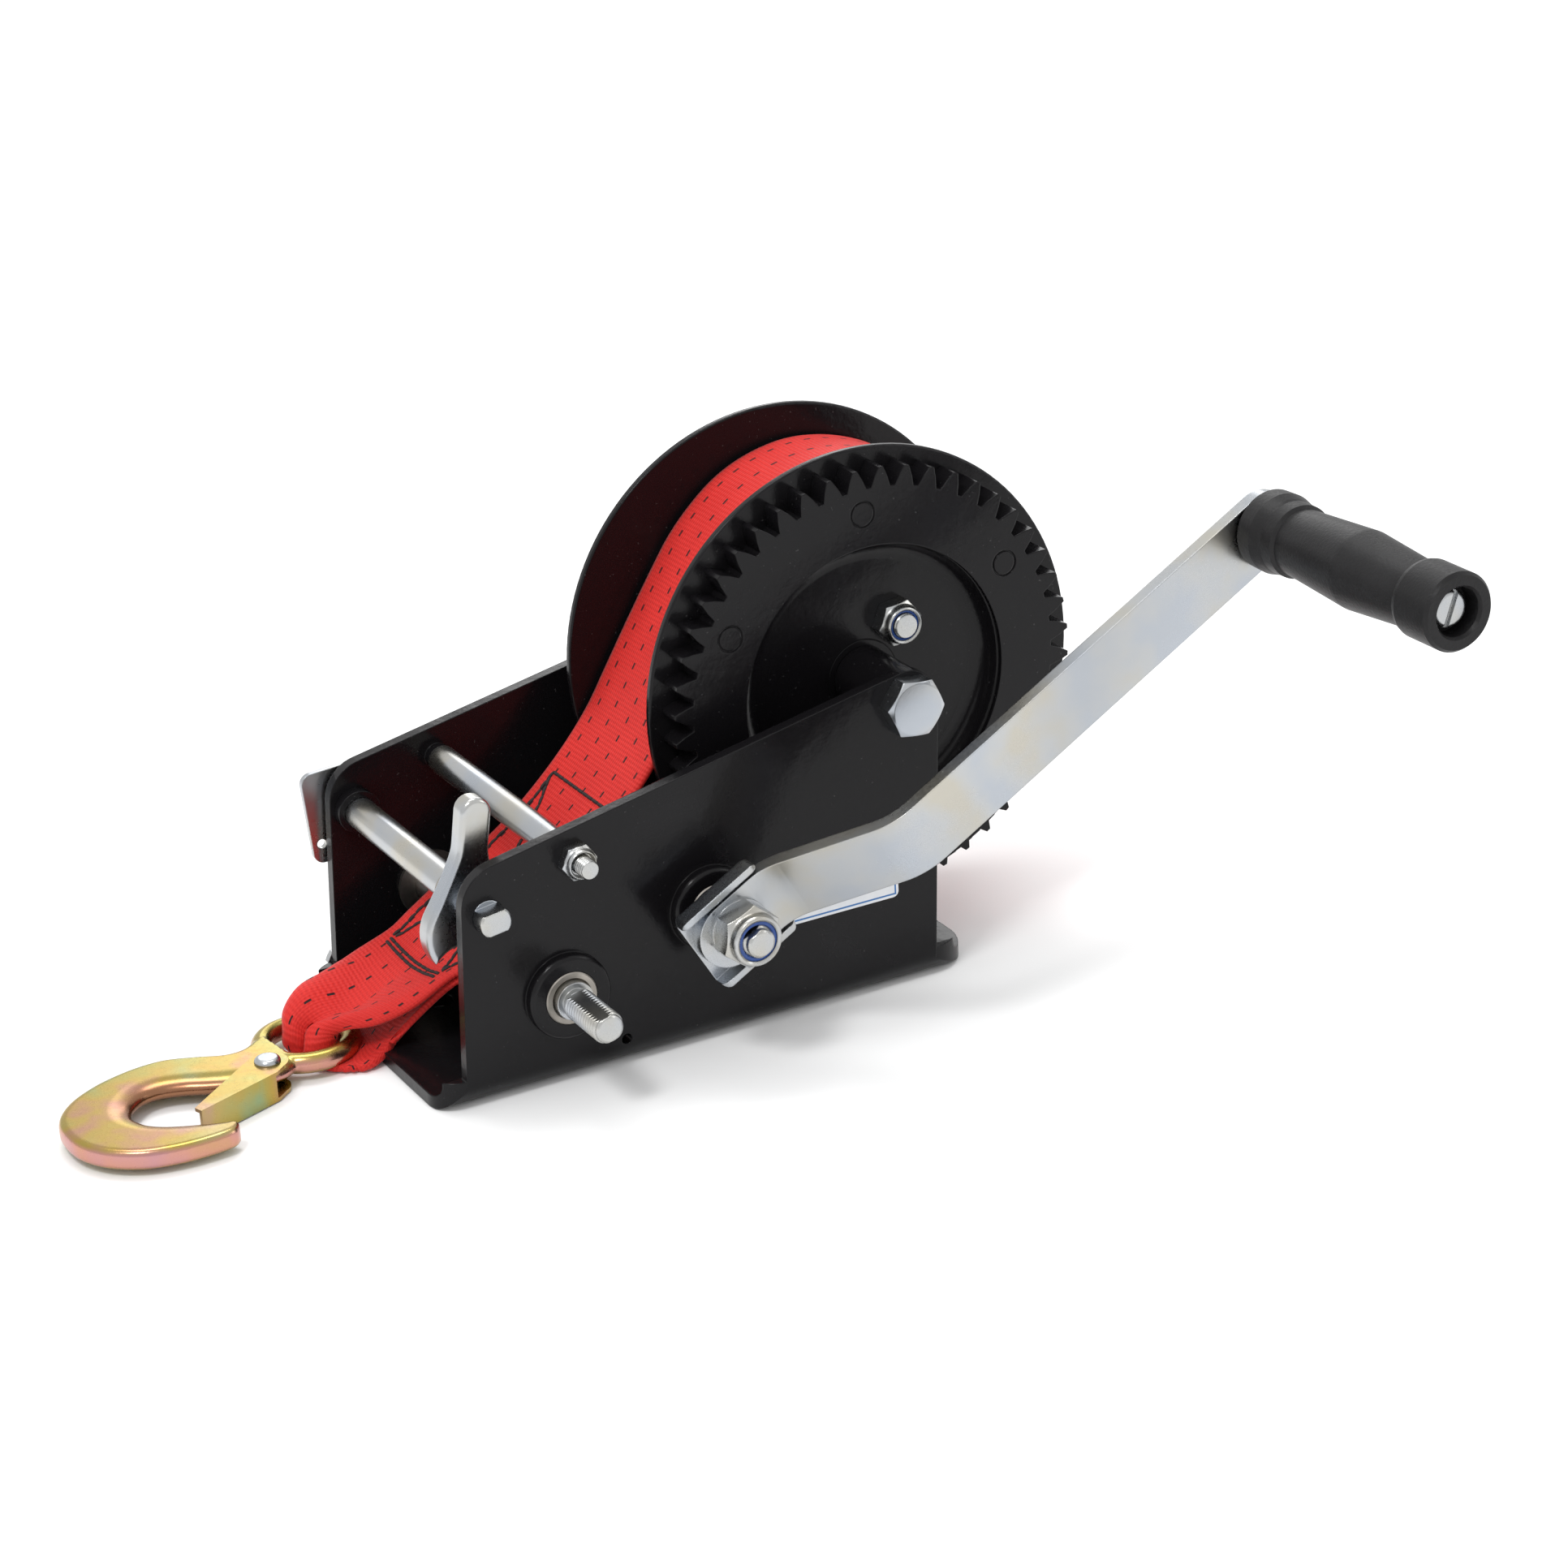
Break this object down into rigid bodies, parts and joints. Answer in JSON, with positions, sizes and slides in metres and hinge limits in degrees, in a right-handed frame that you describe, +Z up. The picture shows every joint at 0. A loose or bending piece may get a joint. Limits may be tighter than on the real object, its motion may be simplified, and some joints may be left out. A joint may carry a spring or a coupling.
{
  "type": "boat trailer winch",
  "caption": "Hand-cranked strap winch: a bent plate frame with a geared drum, pawl, cranked handle, and webbing strap ending in a latched hook.",
  "frame": {"origin": "middle of the base plate's underside, centred between the four mounting holes", "axes": "+Z up out of the base, +X towards the drum, so the strap leaves towards -X; -Y towards the crank"},
  "size_m": [0.3731, 0.2547, 0.165],
  "materials": {
    "black_coat": "gloss black powder coat",
    "bright_zinc": "bright zinc plate with a faint yellow and blue cast",
    "yellow_zinc": "yellow chromate zinc with pink and green tints",
    "plain_steel": "bare or oiled steel",
    "strap_fabric": "red woven polyester webbing with black tracer threads",
    "grip_plastic": "satin black moulded plastic",
    "nylon_insert": "blue nylon",
    "label_film": "blank white film"
  },
  "bodies": {
    "frame": {"frame_bracket": "black_coat", "crank_shaft_bushing_near": "plain_steel", "crank_shaft_bushing_far": "plain_steel", "lay_shaft_bushing_near": "plain_steel", "lay_shaft_bushing_far": "plain_steel", "drum_axle_bolt": "bright_zinc", "drum_axle_nut": "bright_zinc", "drum_axle_nut_insert": "nylon_insert", "drum_spacer_near": "black_coat", "drum_spacer_far": "black_coat", "spacer_tube": "bright_zinc", "spacer_bolt": "bright_zinc", "spacer_nut": "bright_zinc", "pawl_shaft_collar": "black_coat", "wall_stud": "bright_zinc", "label_plate": "label_film", "strap_tail": "strap_fabric"},
    "drum": {"drum_core": "black_coat", "drum_flange_near": "black_coat", "drum_flange_far": "black_coat", "drum_gear": "black_coat", "strap_anchor_sleeve": "black_coat", "strap_anchor_bolt": "bright_zinc", "strap_anchor_nut": "bright_zinc", "strap_anchor_nut_insert": "nylon_insert", "strap_pack": "strap_fabric"},
    "crank": {"crank_shaft": "bright_zinc", "crank_pinion": "plain_steel", "reduction_gear": "plain_steel", "crank_shaft_ring": "plain_steel", "crank_bracket": "bright_zinc", "crank_sleeve": "black_coat", "crank_arm": "bright_zinc", "crank_washer": "bright_zinc", "crank_nut": "bright_zinc", "crank_nut_insert": "nylon_insert", "grip_spindle": "bright_zinc", "grip_nut": "bright_zinc"},
    "grip": {"grip": "grip_plastic"},
    "lay": {"lay_shaft": "bright_zinc", "lay_pinion": "plain_steel", "ratchet_wheel": "plain_steel", "lay_shaft_ring": "plain_steel"},
    "pawl": {"pawl_shaft": "bright_zinc", "pawl": "bright_zinc", "pawl_spring": "plain_steel", "pawl_lever": "bright_zinc", "pawl_shaft_ring": "plain_steel"},
    "hook": {"hook_body": "yellow_zinc", "latch_rivet": "bright_zinc", "latch_spring": "plain_steel"},
    "latch": {"hook_latch": "yellow_zinc"}
  },
  "joints": [
    {"name": "drum_spin", "type": "hinge", "parent": "frame", "child": "drum", "pos_m": [0.0694, 0, 0.092], "axis": [0, 1, 0], "continuous": true},
    {"name": "crank_spin", "type": "hinge", "parent": "frame", "child": "crank", "pos_m": [-0.00096, 0, 0.04372], "axis": [0, 1, 0], "continuous": true},
    {"name": "lay_spin", "type": "hinge", "parent": "frame", "child": "lay", "pos_m": [-0.04955, 0, 0.0284], "axis": [0, 1, 0], "continuous": true},
    {"name": "grip_spin", "type": "hinge", "parent": "crank", "child": "grip", "pos_m": [0.16756, -0.1, 0.13984], "axis": [0, 1, 0], "continuous": true},
    {"name": "pawl_swing", "type": "hinge", "parent": "frame", "child": "pawl", "pos_m": [-0.0721, 0, 0.0594], "axis": [0, 1, 0], "range_deg": [0, 35]},
    {"name": "hook_swing", "type": "hinge", "parent": "frame", "child": "hook", "pos_m": [-0.096, 0.0097, 0.0048], "axis": [0, 1, 0], "range_deg": [0, 60]},
    {"name": "latch_swing", "type": "hinge", "parent": "hook", "child": "latch", "pos_m": [-0.1273, -0.0044, 0.0048], "axis": [0, 0, 1], "range_deg": [-30, 0], "stiffness_Nm_per_rad": 0.01, "springref_deg": 11.46, "deforming": ["latch_spring"]}
  ],
  "couplings": [
    {"joint": "crank_spin", "follows": "drum_spin", "ratio": -3.4286},
    {"joint": "lay_spin", "follows": "drum_spin", "ratio": 7.1429}
  ]
}
